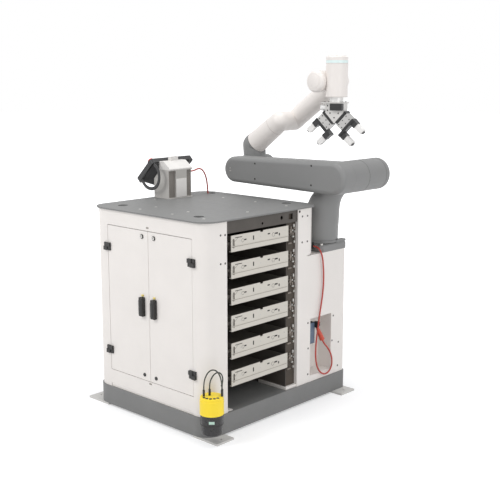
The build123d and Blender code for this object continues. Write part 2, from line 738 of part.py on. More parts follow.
def jaw(side, end):
    """A carriage on the rail with its finger and a narrow tip."""
    x = RAIL_SHIFT + end * (RAIL_L - JAW_L) / 2
    z = VPLATE_T + GRIP_T + RAIL_T + SLIDE_GAP
    carriage = block(x - JAW_L / 2, x + JAW_L / 2, -JAW_W / 2, JAW_W / 2, z, z + JAW_T)
    finger = block(x - FINGER_L / 2, x + FINGER_L / 2, -FINGER_W / 2, FINGER_W / 2,
                   z + JAW_T, z + JAW_T + FINGER_T)
    top = z + JAW_T + FINGER_T
    tip = block(x - FINGER_L / 4, x + FINGER_L / 4, -FINGER_W / 3, FINGER_W / 3, top, top + TIP_T)
    return on_face(side, carriage + finger + tip)


def valve_block():
    return on_tool(block(-14, 50, -BLOCK_D / 2 - 24, -BLOCK_D / 2, -ADAPTER_T - 34, -ADAPTER_T))


def air_fitting():
    x = -BLOCK_W / 2
    z = -ADAPTER_T - 22
    return on_tool(rod((x, -8, z), (x - FITTING_L, -8, z), FITTING_R))


# pendant, holder, scanner

def pendant_holder():
    """The upright stand, with a dark groove at each side of its right face."""
    body = block(HOLDER_X0, HOLDER_X1, HOLDER_Y0, HOLDER_Y1, TABLE_TOP, HOLDER_TOP)
    for y in (HOLDER_Y0, HOLDER_Y1 - GROOVE_W):
        body -= block(HOLDER_X1 - GROOVE_DEEP, HOLDER_X1 + 5, y - 5 if y == HOLDER_Y0 else y,
                      y + GROOVE_W if y == HOLDER_Y0 else HOLDER_Y1 + 5, TABLE_TOP + 5, HOLDER_TOP - 5)
    return body


def cap_outline(grow):
    """The cap's outline in X and Z, optionally grown for the pendant's clearance."""
    low = HOLDER_TOP
    top = low + CAP_H + grow
    return ((HOLDER_X0 - grow, low), (HOLDER_X1, low), (HOLDER_X1, low + 5), (CAP_X + grow, top),
            (HOLDER_X0 + 40 - grow, top), (HOLDER_X0 - grow, low + 12 + grow))


def holder_cap():
    """The sloping white cover with the clip that holds the pendant's upper edge."""
    low = HOLDER_TOP
    mid = (HOLDER_Y0 + HOLDER_Y1) / 2
    clip = block(CAP_X - 22, CAP_X, mid - CLIP_W / 2, mid + CLIP_W / 2, low + CAP_H,
                 low + CAP_H + CLIP_H)
    return prism(cap_outline(0), HOLDER_Y0, HOLDER_Y1) + clip


def pendant():
    """The pad, with its deeper grip housing behind."""
    pad = Box(PENDANT_H, PENDANT_L, PENDANT_T)
    pad = fillet(pad.edges().filter_by(Axis.Z), 18)
    low = Pos(0, 0, -PENDANT_T / 2) * RectangleRounded(PENDANT_H - 16, PENDANT_L - 30, 14)
    deep = Pos(-8, 0, -PENDANT_T / 2 - PENDANT_BACK) * RectangleRounded(
        PENDANT_H - 70, PENDANT_L - 110, 14)
    solid = pad + loft([low, deep])
    y = (HOLDER_Y0 + HOLDER_Y1) / 2 + 22
    top = Pos(HOLDER_X0 + 36, y, HOLDER_TOP + CAP_H + 6)
    solid = top * Rot(0, -PENDANT_TILT, 0) * Pos(-PENDANT_H / 2, 0, 0) * solid
    solid -= block(HOLDER_X0 - JOINT_GAP, HOLDER_X1 + 5, HOLDER_Y0 - JOINT_GAP,
                   HOLDER_Y1 + JOINT_GAP, TABLE_TOP, HOLDER_TOP)
    return solid - prism(cap_outline(JOINT_GAP), HOLDER_Y0 - JOINT_GAP, HOLDER_Y1 + JOINT_GAP)


def scanner_body():
    low = disc(SCAN_AT.X, SCAN_AT.Y, SCAN_Z, SCAN_R, SCAN_LOW_H)
    low = fillet(low.edges().group_by(Axis.Z)[0], 8)
    return low + disc(SCAN_AT.X, SCAN_AT.Y, SCAN_Z + SCAN_LOW_H, SCAN_BAND_R, SCAN_BAND_H)


def scan_top_z():
    return SCAN_Z + SCAN_LOW_H + SCAN_BAND_H


def scanner_top():
    cap = disc(SCAN_AT.X, SCAN_AT.Y, scan_top_z(), SCAN_TOP_R, SCAN_TOP_H)
    return fillet(cap.edges().group_by(Axis.Z)[-1], 6)


def scanner_cap():
    """The black lid with the plugs of both leads."""
    z = scan_top_z() + SCAN_TOP_H
    lid = disc(SCAN_AT.X, SCAN_AT.Y, z, SCAN_CAP_R, SCAN_CAP_H)
    for route in LEAD_ROUTES:
        for x, y, top in (route[0], route[-1]):
            lid += disc(x, y, z, LEAD_PLUG_R, top - z)
    return lid


def scanner_bracket():
    """A saddle on the cabinet's rounded corner that holds the scanner's back."""
    outward = (SCAN_AT - CORNER_AT).normalized()
    reach = (SCAN_AT - CORNER_AT).length
    turn = degrees(atan2(outward.Y, outward.X))
    saddle = block(CORNER_R - 12, reach, -BRACKET_W / 2, BRACKET_W / 2, BASE_Z + 20,
                   scan_top_z() + SCAN_TOP_H - 12)
    saddle = Pos(CORNER_AT.X, CORNER_AT.Y, 0) * Rot(0, 0, turn) * saddle
    saddle -= disc(CORNER_AT.X, CORNER_AT.Y, 0, CORNER_R, TABLE_Z)
    saddle -= disc(SCAN_AT.X, SCAN_AT.Y, 0, SCAN_BAND_R, scan_top_z())
    return saddle - disc(SCAN_AT.X, SCAN_AT.Y, scan_top_z(), SCAN_TOP_R, TABLE_Z)


def pendant_socket():
    """The socket on the back wall that the pendant's cord goes to."""
    x, y, z = PENDANT_CORD[-1]
    run = Vector(*PENDANT_CORD[-1]) - Vector(*PENDANT_CORD[-2])
    wall = CAB_BACK - SHEET
    nose = rod((x, y, z), Vector(x, y, z) + run * 2, CORD_D)
    nose &= block(x - 50, x + 50, y - 50, wall, z - 90, z + 50)
    return nose + block(x - 18, x + 18, wall - 8, wall, z - 36, z + 10)


def main():
    os.makedirs("parts", exist_ok=True)
    ring = cabinet_ring()
    nodes = {
        "floor_plates": floor_plates(),
        "base_skid": base_skid(),
        "left_wall": left_wall(ring),
        "back_wall": back_wall(ring),
        "front_rails": front_rails(ring),
        "corner_panel": corner_panel(ring),
        "side_sheet": side_sheet(ring),
        "bay_walls": bay_walls(),
        "cupboard_wall": cupboard_wall(),
        "side_rail": side_rail(),
        "runners": runners(),
        "latches": latches(),
        "table_top": table_top(),
        "door_left": door(DOOR_L, DOOR_MID - GAP / 2),
        "door_right": door(DOOR_MID + GAP / 2, DOOR_R),
        "post_hinges": post_hinges(),
        "door_left_fittings": door_fittings(DOOR_L - GAP / 2, 1, DOOR_MID - HANDLE_IN),
        "door_right_fittings": door_fittings(DOOR_R + GAP / 2, -1, DOOR_MID + HANDLE_IN),
        "pedestal": pedestal(),
        "pedestal_top": pedestal_top(),
        "recess_box": recess_box(),
        "sockets": group([recess_connector(), robot_socket(), pendant_socket()]),
        "robot_foot": robot_foot(),
        "robot_column": robot_column(),
        "lower_arm": lower_arm(),
        "elbow": elbow(),
        "elbow_root": elbow_root(),
        "forearm": forearm(),
        "wrist": wrist(),
        "light_ring": light_ring(),
        "tool_flange": tool_flange(),
        "gripper_adapter": gripper_adapter(),
        "gripper_bodies": group([grip_body(-1), grip_body(1)]),
        "gripper_plates": group([v_plate(-1), v_plate(1), grip_rail(-1), grip_rail(1),
                                 valve_block()]),
        "air_fitting": air_fitting(),
        "pendant_holder": pendant_holder(),
        "holder_cap": holder_cap(),
        "pendant": pendant(),
        "scanner_top": scanner_top(),
        "scanner_body": group([scanner_body(), scanner_cap()]),
        "scanner_bracket": scanner_bracket(),
        "robot_cord": cord("robot_cord", ROBOT_CORD, CORD_D),
        "pendant_cord": cord("pendant_cord", PENDANT_CORD, CORD_D),
        "cord_plug": cone(PLUG_FROM, PLUG_TO, PLUG_R, PLUG_TIP_R),
    }
    for number, route in enumerate(LEAD_ROUTES, 1):
        nodes[f"scanner_lead_{number}"] = cord(f"scanner_lead_{number}", route, LEAD_D)
    for number, top in enumerate(DRAWER_TOPS, 1):
        nodes[f"drawer_{number}"] = drawer(top)
    for letter, side in (("a", -1), ("b", 1)):
        for number, end in ((1, -1), (2, 1)):
            nodes[f"jaw_{letter}{number}"] = jaw(side, end)
    for name, shape in nodes.items():
        export_step(shape, f"parts/{name}.step")


main()
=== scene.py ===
# %% [markdown]
# # A machine tending cell, finished in Blender
# The solid parts come from CAD as a fixed frame: a white cabinet on a grey skid, with
# doors, drawers, a robot arm, its gripper, a pendant and a corner scanner. Blender adds
# what CAD leaves plain: paint, plastic and metal finishes, screws, seams, small lids,
# the cords, and the light. Everything is in metres and stays where the CAD puts it.

# %% Load the frame
import json
import math

import bmesh
import bpy
from mathutils import Matrix, Vector


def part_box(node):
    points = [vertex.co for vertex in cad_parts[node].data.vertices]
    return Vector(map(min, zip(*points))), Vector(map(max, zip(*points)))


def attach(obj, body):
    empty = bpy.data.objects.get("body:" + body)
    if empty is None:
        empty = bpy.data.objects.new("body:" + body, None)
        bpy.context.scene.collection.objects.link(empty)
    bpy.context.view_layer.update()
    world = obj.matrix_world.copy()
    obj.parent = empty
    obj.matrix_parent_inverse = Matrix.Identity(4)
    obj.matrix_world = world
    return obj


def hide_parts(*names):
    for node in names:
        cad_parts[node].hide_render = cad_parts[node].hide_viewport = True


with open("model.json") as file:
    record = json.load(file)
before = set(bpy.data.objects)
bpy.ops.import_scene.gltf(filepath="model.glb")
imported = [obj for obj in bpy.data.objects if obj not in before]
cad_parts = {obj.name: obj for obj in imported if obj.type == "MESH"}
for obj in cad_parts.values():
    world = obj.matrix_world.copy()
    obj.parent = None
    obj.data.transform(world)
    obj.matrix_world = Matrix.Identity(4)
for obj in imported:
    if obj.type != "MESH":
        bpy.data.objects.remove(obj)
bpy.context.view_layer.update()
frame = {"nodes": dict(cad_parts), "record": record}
MM = 0.001

# %% [markdown]
# ## Camera
# The photograph is a long-lens product view from the front right, a little above the
# table. The camera was solved from the cabinet's straight edges, so it stands at a
# measured place, and its lens gives the same perspective as the picture.

# %% Camera
CAMERA_AT = (3.2739, -3.2817, 1.669)
CAMERA_DOWN = 10.96
CAMERA_TURN = 43.19
LENS = 66.5

camera_data = bpy.data.cameras.new("camera")
camera_data.lens = LENS
camera_data.sensor_width = 36
camera_data.clip_end = 50
camera = bpy.data.objects.new("camera", camera_data)
camera.location = CAMERA_AT
camera.rotation_euler = (math.radians(90 - CAMERA_DOWN), 0, math.radians(CAMERA_TURN))
bpy.context.scene.collection.objects.link(camera)
bpy.context.scene.camera = camera
print("camera", [round(c, 2) for c in CAMERA_AT])

# %% [markdown]
# ## Light
# The picture is lit by a large soft source from above and from the left front, so the
# doors are bright, the drawer side is a little darker, and the shadow on the floor is
# faint. Three big area lamps and a pale world give that without hard edges.

# %% Lamps, world and floor
GLOW_NEAR, GLOW_FAR = 0.34, 1.0
GLOW_FROM, GLOW_TO = 1.2, 4.5
FLOOR_SHADE = 0.8
FLOOR_HALF = 30
SKY_TINT = (0.96, 0.97, 1, 1)
SKY_STRENGTH = 0.62
WHITE = (1, 1, 1, 1)


def lamp(name, place, target, size, watts):
    data = bpy.data.lights.new(name, "AREA")
    data.shape = "DISK"
    data.size = size
    data.energy = watts
    item = bpy.data.objects.new(name, data)
    item.location = place
    item.rotation_euler = (Vector(target) - Vector(place)).to_track_quat("-Z", "Y").to_euler()
    bpy.context.scene.collection.objects.link(item)


def ray_switch(tree, output, lit, seen):
    """Lights with one shader, and shows the other to the camera, also in reflections."""
    mix = tree.nodes.new("ShaderNodeMixShader")
    path = tree.nodes.new("ShaderNodeLightPath")
    reflected = tree.nodes.new("ShaderNodeMath")
    direct = tree.nodes.new("ShaderNodeMath")
    reflected.operation = direct.operation = "MAXIMUM"
    tree.links.new(path.outputs["Is Camera Ray"], reflected.inputs[0])
    tree.links.new(path.outputs["Is Glossy Ray"], reflected.inputs[1])
    tree.links.new(reflected.outputs[0], direct.inputs[0])
    tree.links.new(path.outputs["Is Transmission Ray"], direct.inputs[1])
    tree.links.new(direct.outputs[0], mix.inputs[0])
    tree.links.new(lit.outputs[0], mix.inputs[1])
    tree.links.new(seen.outputs[0], mix.inputs[2])
    tree.links.new(mix.outputs[0], tree.nodes.new(output).inputs[0])


lamp("key", (-1.6, -4.6, 4.2), (0, 0, 0.8), 3.0, 130)
lamp("side", (4.6, -0.6, 2.6), (0, 0, 0.9), 2.6, 55)
lamp("top", (0.4, 0.6, 5.0), (0, 0, 0.5), 3.2, 70)

world = bpy.data.worlds.new("studio")
bpy.context.scene.world = world
world.use_nodes = True
tree = world.node_tree
tree.nodes.clear()
soft = tree.nodes.new("ShaderNodeBackground")
plain = tree.nodes.new("ShaderNodeBackground")
soft.inputs["Color"].default_value = SKY_TINT
soft.inputs["Strength"].default_value = SKY_STRENGTH
plain.inputs["Color"].default_value = WHITE
plain.inputs["Strength"].default_value = 1
ray_switch(tree, "ShaderNodeOutputWorld", soft, plain)

floor_mesh = bmesh.new()
bmesh.ops.create_grid(floor_mesh, x_segments=2, y_segments=2, size=FLOOR_HALF)
floor_data = bpy.data.meshes.new("floor")
floor_mesh.to_mesh(floor_data)
floor_mesh.free()
floor = bpy.data.objects.new("floor", floor_data)
bpy.context.scene.collection.objects.link(floor)
paper = bpy.data.materials.new("studio_floor")
paper.use_nodes = True
tree = paper.node_tree
tree.nodes.clear()
glow = tree.nodes.new("ShaderNodeEmission")
add = tree.nodes.new("ShaderNodeAddShader")
matt = tree.nodes.new("ShaderNodeBsdfDiffuse")
glow.inputs["Color"].default_value = WHITE
far = tree.nodes.new("ShaderNodeVectorMath")
far.operation = "LENGTH"
fade = tree.nodes.new("ShaderNodeMapRange")
fade.inputs["From Min"].default_value = GLOW_FROM
fade.inputs["From Max"].default_value = GLOW_TO
fade.inputs["To Min"].default_value = GLOW_NEAR
fade.inputs["To Max"].default_value = GLOW_FAR
tree.links.new(tree.nodes.new("ShaderNodeTexCoord").outputs["Object"], far.inputs[0])
tree.links.new(far.outputs["Value"], fade.inputs["Value"])
tree.links.new(fade.outputs["Result"], glow.inputs["Strength"])
matt.inputs["Color"].default_value = (FLOOR_SHADE, FLOOR_SHADE, FLOOR_SHADE, 1)
tree.links.new(matt.outputs[0], add.inputs[0])
tree.links.new(glow.outputs[0], add.inputs[1])
ray_switch(tree, "ShaderNodeOutputMaterial", matt, add)
floor_data.materials.append(paper)
bpy.context.scene.view_settings.view_transform = "Standard"
print("three lamps, a pale world and a floor")

# %% [markdown]
# ## Finishes
# Nearly everything here is powder coat, anodised metal or moulded plastic. Powder coat
# has a fine orange peel and almost even colour; plastic has a tighter grain; brushed or
# machined metal is streaky. One builder makes them all: slow noise shifts the colour by
# a few per cent, faster noise moves the roughness, and the finest one is the bump.

# %% Finish builder
PATCH_SCALE = 9
GLOSS_SCALE = 45
GLOSS_SWING = 0.07
GLOSS_LEAST = 0.03
RELIEF = 0.0004


def linear(rgb):
    """A 0-255 screen colour as scene-linear values."""
    steps = [c / 255 for c in rgb]
    return [c / 12.92 if c <= 0.04045 else ((c + 0.055) / 1.055) ** 2.4 for c in steps]


def noise(tree, coords, scale, detail=3):
    node = tree.nodes.new("ShaderNodeTexNoise")
    node.inputs["Scale"].default_value = scale
    node.inputs["Detail"].default_value = detail
    tree.links.new(coords, node.inputs["Vector"])
    return node.outputs["Fac"]


def finish(name, rgb, rough=0.5, metal=0.0, grain=900, bump=0.12, patch=0.04, stretch=None):
    """A material with patchy colour, uneven gloss and a fine surface grain."""
    mat = bpy.data.materials.new(name)
    mat.use_nodes = True
    tree = mat.node_tree
    shader = tree.nodes["Principled BSDF"]
    shader.inputs["Metallic"].default_value = metal
    place = tree.nodes.new("ShaderNodeTexCoord").outputs["Object"]
    if stretch:
        mapping = tree.nodes.new("ShaderNodeMapping")
        mapping.inputs["Scale"].default_value = stretch
        tree.links.new(place, mapping.inputs["Vector"])
        place = mapping.outputs["Vector"]
    ramp = tree.nodes.new("ShaderNodeValToRGB")
    base = linear(rgb)
    ramp.color_ramp.elements[0].position = 0.3
    ramp.color_ramp.elements[1].position = 0.7
    ramp.color_ramp.elements[0].color = [c * (1 - patch) for c in base] + [1]
    ramp.color_ramp.elements[1].color = [min(1, c * (1 + patch)) for c in base] + [1]
    tree.links.new(noise(tree, place, PATCH_SCALE, 4), ramp.inputs["Fac"])
    tree.links.new(ramp.outputs["Color"], shader.inputs["Base Color"])
    gloss = tree.nodes.new("ShaderNodeMapRange")
    gloss.inputs["To Min"].default_value = max(GLOSS_LEAST, rough - GLOSS_SWING)
    gloss.inputs["To Max"].default_value = rough + GLOSS_SWING
    tree.links.new(noise(tree, place, GLOSS_SCALE), gloss.inputs["Value"])
    tree.links.new(gloss.outputs["Result"], shader.inputs["Roughness"])
    relief = tree.nodes.new("ShaderNodeBump")
    relief.inputs["Strength"].default_value = bump
    relief.inputs["Distance"].default_value = RELIEF
    tree.links.new(noise(tree, place, grain, 2), relief.inputs["Height"])
    tree.links.new(relief.outputs["Normal"], shader.inputs["Normal"])
    return mat


FINISH = {
    "skid_grey": finish("skid_grey", (122, 122, 121), 0.55),
    "foot_plate": finish("foot_plate", (208, 206, 202), 0.5),
    "panel_white": finish("panel_white", (232, 227, 222), 0.45, patch=0.015),
    # inner_dark colours the recessed inner parts dark as painted shade, not in their own colour.
    "inner_dark": finish("inner_dark", (72, 67, 62), 0.6, patch=0.12),
    "drawer_front": finish("drawer_front", (205, 200, 190), 0.42, patch=0.03),
    "latch_steel": finish("latch_steel", (120, 112, 104), 0.4, 0.6, patch=0.25),
    "table_grey": finish("table_grey", (122, 122, 121), 0.55, patch=0.03),
    "fitting_black": finish("fitting_black", (34, 33, 32), 0.5, grain=1400, bump=0.2),
    "robot_grey": finish("robot_grey", (128, 128, 127), 0.5, patch=0.02),
    "robot_white": finish("robot_white", (232, 226, 221), 0.4, patch=0.015),
    "ring_cyan": finish("ring_cyan", (222, 240, 238), 0.25, patch=0.03),
    "flange_metal": finish("flange_metal", (225, 224, 222), 0.35, 0.35, stretch=(1, 1, 8)),
    "gripper_silver": finish("gripper_silver", (176, 175, 173), 0.36, 0.55, patch=0.1),
    "gripper_black": finish("gripper_black", (34, 34, 35), 0.42, 0.2),
    "adapter_silver": finish("adapter_silver", (196, 194, 191), 0.38, 0.3, patch=0.1),
    "fitting_white": finish("fitting_white", (238, 237, 235), 0.3),
    "holder_grey": finish("holder_grey", (186, 183, 178), 0.45),
    "cap_white": finish("cap_white", (226, 223, 219), 0.45),
    "pendant_black": finish("pendant_black", (42, 42, 43), 0.5, grain=1500, bump=0.25),
    "scanner_yellow": finish("scanner_yellow", (250, 220, 48), 0.45, grain=1300, bump=0.15),
    "scanner_black": finish("scanner_black", (38, 37, 38), 0.28, patch=0.1),
    "bracket_white": finish("bracket_white", (214, 211, 206), 0.45),
    "cord_red": finish("cord_red", (176, 62, 52), 0.5),
    "plug_orange": finish("plug_orange", (196, 74, 50), 0.4),
    "lead_black": finish("lead_black", (44, 48, 40), 0.5),
    "screw_steel": finish("screw_steel", (196, 194, 190), 0.3, 0.7),
    "screw_dark": finish("screw_dark", (92, 90, 88), 0.4, 0.4),
    "shadow_gap": finish("shadow_gap", (40, 38, 36), 0.8),
    "robot_seam": finish("robot_seam", (98, 98, 97), 0.6),
    "white_seam": finish("white_seam", (196, 190, 185), 0.5),
    "display_green": finish("display_green", (176, 206, 190), 0.15, patch=0.1),
    "screen_glass": finish("screen_glass", (24, 28, 34), 0.1, bump=0.0),
    "stop_red": finish("stop_red", (190, 34, 28), 0.35),
    "connector_blue": finish("connector_blue", (92, 108, 128), 0.45, grain=1300),
    "mark_yellow": finish("mark_yellow", (232, 212, 120), 0.45),
    "fold_shade": finish("fold_shade", (150, 144, 135), 0.5),
    "groove_shade": finish("groove_shade", (128, 123, 117), 0.6),
    "bay_shadow": finish("bay_shadow", (66, 58, 50), 0.7, patch=0.2),
}
print(len(FINISH), "finishes")

# %% [markdown]
# ## The gripper's jaws
# Each jaw is one CAD piece of three materials along its height: a black carriage, a
# white finger and a small dark tip. Measuring how far a point stands out of its sloping
# rail, with a dot product, lets one material switch colour at the right heights.

# %% Jaw finish
GRIP_TURN = math.radians(15)
WEDGE_HALF = 48
WEDGE_DROP = 52
WEDGE_START = 52
CARRIAGE_TOP = 24
FINGER_TOP = 68.4


def face_normal(side):
    """The outward direction of one sloping side of the gripper's wedge."""
    length = math.hypot(WEDGE_HALF, WEDGE_DROP)
    out_x, out_z = side * WEDGE_DROP / length, -WEDGE_HALF / length
    return Vector((out_x * math.cos(GRIP_TURN), out_x * math.sin(GRIP_TURN), out_z))


def banded(name, rgb, rough, normal, steps):
    """One finish that changes colour at given distances, in metres, along a direction."""
    mat = finish(name, rgb, rough)
    tree = mat.node_tree
    shader = tree.nodes["Principled BSDF"]
    colour = shader.inputs["Base Color"].links[0].from_socket
    place = tree.nodes.new("ShaderNodeTexCoord").outputs["Object"]
    dot = tree.nodes.new("ShaderNodeVectorMath")
    dot.operation = "DOT_PRODUCT"
    dot.inputs[1].default_value = normal
    tree.links.new(place, dot.inputs[0])
    for height, next_rgb in steps:
        step = tree.nodes.new("ShaderNodeMath")
        step.operation = "GREATER_THAN"
        step.inputs[1].default_value = height
        tree.links.new(dot.outputs["Value"], step.inputs[0])
        blend = tree.nodes.new("ShaderNodeMix")
        blend.data_type = "RGBA"
        blend.inputs["B"].default_value = linear(next_rgb) + [1]
        tree.links.new(step.outputs[0], blend.inputs["Factor"])
        tree.links.new(colour, blend.inputs["A"])
        colour = blend.outputs["Result"]
    tree.links.new(colour, shader.inputs["Base Color"])
    return mat


def jaw_finish(name, node, side):
    """Black, then white, then dark again, counted from the rail outwards."""
    normal = face_normal(side)
    low = min(normal.dot(v.co) for v in frame["nodes"][node].data.vertices)
    steps = ((low + CARRIAGE_TOP * MM, (236, 234, 231)), (low + FINGER_TOP * MM, (70, 68, 66)))
    return banded(name, (34, 34, 35), 0.42, normal, steps)


# %% [markdown]
# ## The drawers' painted shade
# Only the folded front of a drawer keeps its own colour. The tray behind it is coloured
# dark as painted shade, which is why the gaps between the fronts look almost black. The
# same banded finish switches the colour a few millimetres behind the front.

# %% Drawer finish
FOLD_DEPTH = 14.5
drawer_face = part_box("drawer_1")[1][0]
# The tray colour (118, 112, 105) is painted shade; the front keeps its own (205, 200, 190).
FINISH["drawer_grey"] = banded("drawer_grey", (118, 112, 105), 0.42, (1, 0, 0),
                               ((drawer_face - FOLD_DEPTH * MM, (205, 200, 190)),))

# %% Finishes on the CAD nodes
node_slot = {s["node"]: s["material_slot"] for s in frame["record"]["subparts"]}
for node, obj in frame["nodes"].items():
    if node.startswith("jaw_"):
        mat = jaw_finish(node + "_finish", node, -1 if "_a" in node else 1)
    else:
        mat = FINISH["adapter_silver" if node == "gripper_adapter" else node_slot[node]]
    obj.data.materials.clear()
    obj.data.materials.append(mat)
print(len(node_slot), "nodes have their finish")

# %% [markdown]
# ## Helpers for small pieces
# Screws, lids, seams and labels all start from a bmesh shape at the origin. They are
# bevelled there, turned to face their surface, and moved into place in the mesh itself,
# because a finished object stays at the world origin like the CAD nodes do.

# %% Piece helpers
def keep(mesh, name, body, slot, mat=None, smooth=True):
    """Makes an object of a finished bmesh and ties it to its CAD body."""
    bmesh.ops.recalc_face_normals(mesh, faces=mesh.faces)
    data = bpy.data.meshes.new(name)
    mesh.to_mesh(data)
    mesh.free()
    data.materials.append(FINISH[mat or slot])
    if smooth:
        data.shade_smooth()
        data.set_sharp_from_angle(angle=math.radians(35))
    obj = bpy.data.objects.new(name, data)
    bpy.context.scene.collection.objects.link(obj)
    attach(obj, body)


def aim(normal):
    """Turns +Z to a direction."""
    return Vector(normal).to_track_quat("Z", "Y").to_matrix().to_4x4()


def edge_bevel(mesh, geom, width, segments=2):
    bmesh.ops.bevel(mesh, geom=geom, offset=width * MM, offset_type="OFFSET", segments=segments,
                    profile=0.5, affect="EDGES", material=-1)


def puck(mesh, at, normal, radius, height, sides=24, round_off=0.0, sink=0.3):
    """A disc that stands on a surface, let in a little so that nothing floats."""
    made = bmesh.ops.create_cone(mesh, cap_ends=True, segments=sides, radius1=radius * MM,
                                 radius2=radius * MM, depth=(height + sink) * MM)
    verts = made["verts"]
    bmesh.ops.translate(mesh, verts=verts, vec=(0, 0, (height - sink) / 2 * MM))
    if round_off:
        top = [e for v in verts for e in v.link_edges
               if all(abs(w.co.z - height * MM) < 1e-6 for w in e.verts)]
        before = set(mesh.verts) - set(verts)
        edge_bevel(mesh, list(set(top)), round_off)
        verts = [v for v in mesh.verts if v not in before]
    bmesh.ops.transform(mesh, verts=verts, matrix=Matrix.Translation(Vector(at) * MM) @ aim(normal))


def pucks(name, body, slot, points, normal, radius, height, mat=None, **how):
    mesh = bmesh.new()
    for at in points:
        puck(mesh, at, normal, radius, height, **how)
    keep(mesh, name, body, slot, mat)


def slab(mesh, at, size, turn=None, round_off=0.0):
    """A bevelled box about a centre."""
    verts = bmesh.ops.create_cube(mesh, size=1)["verts"]
    bmesh.ops.scale(mesh, verts=verts, vec=Vector(size) * MM)
    if round_off:
        before = set(mesh.verts) - set(verts)
        edges = list({e for v in verts for e in v.link_edges})
        edge_bevel(mesh, edges, round_off)
        verts = [v for v in mesh.verts if v not in before]
    bmesh.ops.transform(mesh, verts=verts,
                        matrix=Matrix.Translation(Vector(at) * MM) @ (turn or Matrix()))


def slabs(name, body, slot, items, mat=None, turn=None, round_off=0.4):
    mesh = bmesh.new()
    for at, size in items:
        slab(mesh, at, size, turn, round_off)
    keep(mesh, name, body, slot, mat)


def hoop(mesh, at, normal, radius, width, proud=0.5, sides=64):
    """A thin band round a shaft, for a joint's seam."""
    before = set(mesh.verts)
    outer = (radius + proud) * MM
    made = bmesh.ops.create_cone(mesh, cap_ends=False, segments=sides, radius1=outer,
                                 radius2=outer, depth=width * MM)
    bmesh.ops.solidify(mesh, geom=list({f for v in made["verts"] for f in v.link_faces}),
                       thickness=2 * proud * MM)
    verts = [v for v in mesh.verts if v not in before]
    bmesh.ops.transform(mesh, verts=verts, matrix=Matrix.Translation(Vector(at) * MM) @ aim(normal))


def hoops(name, body, slot, items, mat, **how):
    mesh = bmesh.new()
    for at, normal, radius, width in items:
        hoop(mesh, at, normal, radius, width, **how)
    keep(mesh, name, body, slot, mat)


def corner(node):
    """The low and high corner of a node, in millimetres."""
    low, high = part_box(node)
    return Vector(low) / MM, Vector(high) / MM


print("helpers ready")

# %% [markdown]
# ## The cords
# Four cords show in the photograph: a red one from the robot's foot to its plug and two
# black loops on the scanner, which are seen from end to end, and a red one from the
# pendant, which is seen as far as a table hole and guessed below it. Each is a smooth
# curve of third order whose control points are the CAD route's points, so it lies where
# the CAD tube lies.

# %% Cord routes and curves
ROBOT_CORD = ((366, 286, 800), (389, 286, 800), (410, 288, 782), (420, 293, 748), (418, 302, 700),
              (416, 309, 652), (416, 308, 603), (416, 302, 553), (416, 292, 503), (416, 280, 452),
              (416, 271, 400), (416, 261, 345), (416, 253, 290), (416, 252, 236), (416, 261, 187),
              (416, 286, 147), (416, 322, 124), (416, 360, 126), (416, 386, 152), (415, 391, 190),
              (411, 381, 228), (405, 362, 260), (398, 340, 285.09), (398, 325, 311))
PENDANT_CORD = ((-292, 54, 1150), (-292, 82, 1150), (-296, 112, 1159), (-300, 143, 1156),
                (-305, 171, 1134), (-308, 189, 1100), (-310, 198, 1062), (-311, 202, 1022),
                (-310, 205, 984), (-308, 213, 952), (-305, 230, 928), (-304, 250, 915))
LEAD_1 = ((415, -540, 262), (415, -540, 290), (420, -536, 320), (430, -526, 346), (444, -513, 358),
          (458, -500, 352), (468, -490, 331), (473, -486, 305), (475, -484, 284), (475, -484, 262))
LEAD_2 = ((425, -513, 262), (425, -513, 288), (431, -507, 313), (441, -498, 333), (454, -487, 342),
          (465, -477, 334), (469, -471, 311), (466, -474, 286), (466, -474, 262))


def smooth_line(curve, points):
    """A third-order curve over a row of control points, which touches both ends."""
    curve.dimensions = "3D"
    line = curve.splines.new("NURBS")
    line.points.add(len(points) - 1)
    for point, place in zip(line.points, points):
        point.co = (*place, 1)
    line.order_u = 3
    line.use_endpoint_u = True


def cord(name, points, diameter, slot):
    curve = bpy.data.curves.new(name, "CURVE")
    curve.resolution_u = 8
    curve.bevel_depth = diameter / 2 * MM
    curve.bevel_resolution = 4
    curve.use_fill_caps = True
    smooth_line(curve, [[c * MM for c in place] for place in points])
    curve.materials.append(FINISH[slot])
    obj = bpy.data.objects.new(name + "_line", curve)
    bpy.context.scene.collection.objects.link(obj)
    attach(obj, "cell")
    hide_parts(name)


cord("robot_cord", ROBOT_CORD, 8, "cord_red")
cord("pendant_cord", PENDANT_CORD, 8, "cord_red")
cord("scanner_lead_1", LEAD_1, 6, "lead_black")
cord("scanner_lead_2", LEAD_2, 6, "lead_black")
print("four cords")

# %% [markdown]
# ## Screws and marks on the cabinet
# The sheets are held with flat screws that show as small dots, darker on the white
# panels and brighter on the grey table. They are small, so a disc with a rounded rim is
# enough; what matters is that they sit where the photograph shows them.

# %% Cabinet screws
RIGHT = corner("side_sheet")[1].x
FRONT = corner("left_wall")[0].y
TABLE = corner("table_top")[1].z

table_screws = [(x, y, TABLE) for x in (-122, 108) for y in (-437, -336, 130)]
table_screws += [(317, -435, TABLE), (317, 130, TABLE), (317, -150, TABLE), (-340, -150, TABLE)]
pucks("table_screws", "cell", "table_grey", table_screws, (0, 0, 1), 7, 1.2, "screw_steel",
      round_off=0.5)
SIDE_SCREWS = ((151, 971), (190, 970), (151, 842), (203, 421), (409, 420), (207, 287), (456, 268),
               (402, 287), (452, 140), (206, 150), (190, 842), (-416, 950), (-387, 948),
               (-416, 819), (-387, 818), (-416, 249))
pucks("side_screws", "cell", "panel_white", [(RIGHT, y, z) for y, z in SIDE_SCREWS], (1, 0, 0),
      5, 0.8, "screw_dark", round_off=0.3)
pucks("column_hole", "cell", "panel_white", [(RIGHT, 130, 997)], (1, 0, 0), 6, 0.4, "shadow_gap")
rear_screws = [(x, 273, z) for x in (-250, -60, 30) for z in (140, 560, 980)]
